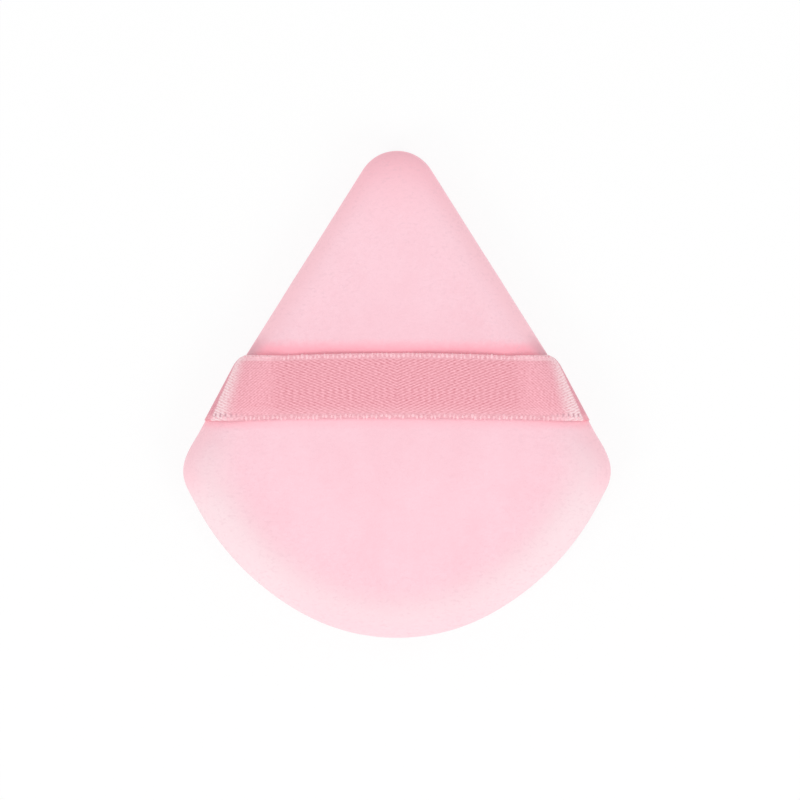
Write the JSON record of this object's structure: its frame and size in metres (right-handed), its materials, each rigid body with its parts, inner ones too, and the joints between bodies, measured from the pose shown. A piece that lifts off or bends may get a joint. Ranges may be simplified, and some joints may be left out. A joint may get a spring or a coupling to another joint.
{
  "type": "powder puff",
  "caption": "Rounded wedge powder puff: a foam pad in a sewn velour cover, with a satin ribbon strap across its back for the fingers.",
  "frame": {"origin": "under the middle of the puff's box, on the plane it lies on", "axes": "+X across the puff, along the strap; +Y to the tip; +Z out of the back, where the strap is"},
  "size_m": [0.07, 0.08, 0.0116],
  "materials": {
    "velour": "short brushed pile, pale pink, matt",
    "foam": "open-cell cosmetic foam, off-white",
    "thread": "spun polyester sewing thread, pink",
    "satin": "satin ribbon with a fine twill face, rose pink, soft sheen"
  },
  "bodies": {
    "pad": {"front_velour": "velour", "back_velour": "velour", "sponge_core": "foam", "needle_thread": "thread", "bobbin_thread": "thread", "closing_thread": "thread", "ribbon_tail_left": "satin", "ribbon_tail_right": "satin"},
    "strap": {"ribbon_strap": "satin"}
  },
  "joints": [
    {"name": "strap_lift", "type": "slide", "parent": "pad", "child": "strap", "axis": [0, 0, 1], "range_m": [0, 0.008], "stiffness_N_per_m": 20}
  ]
}
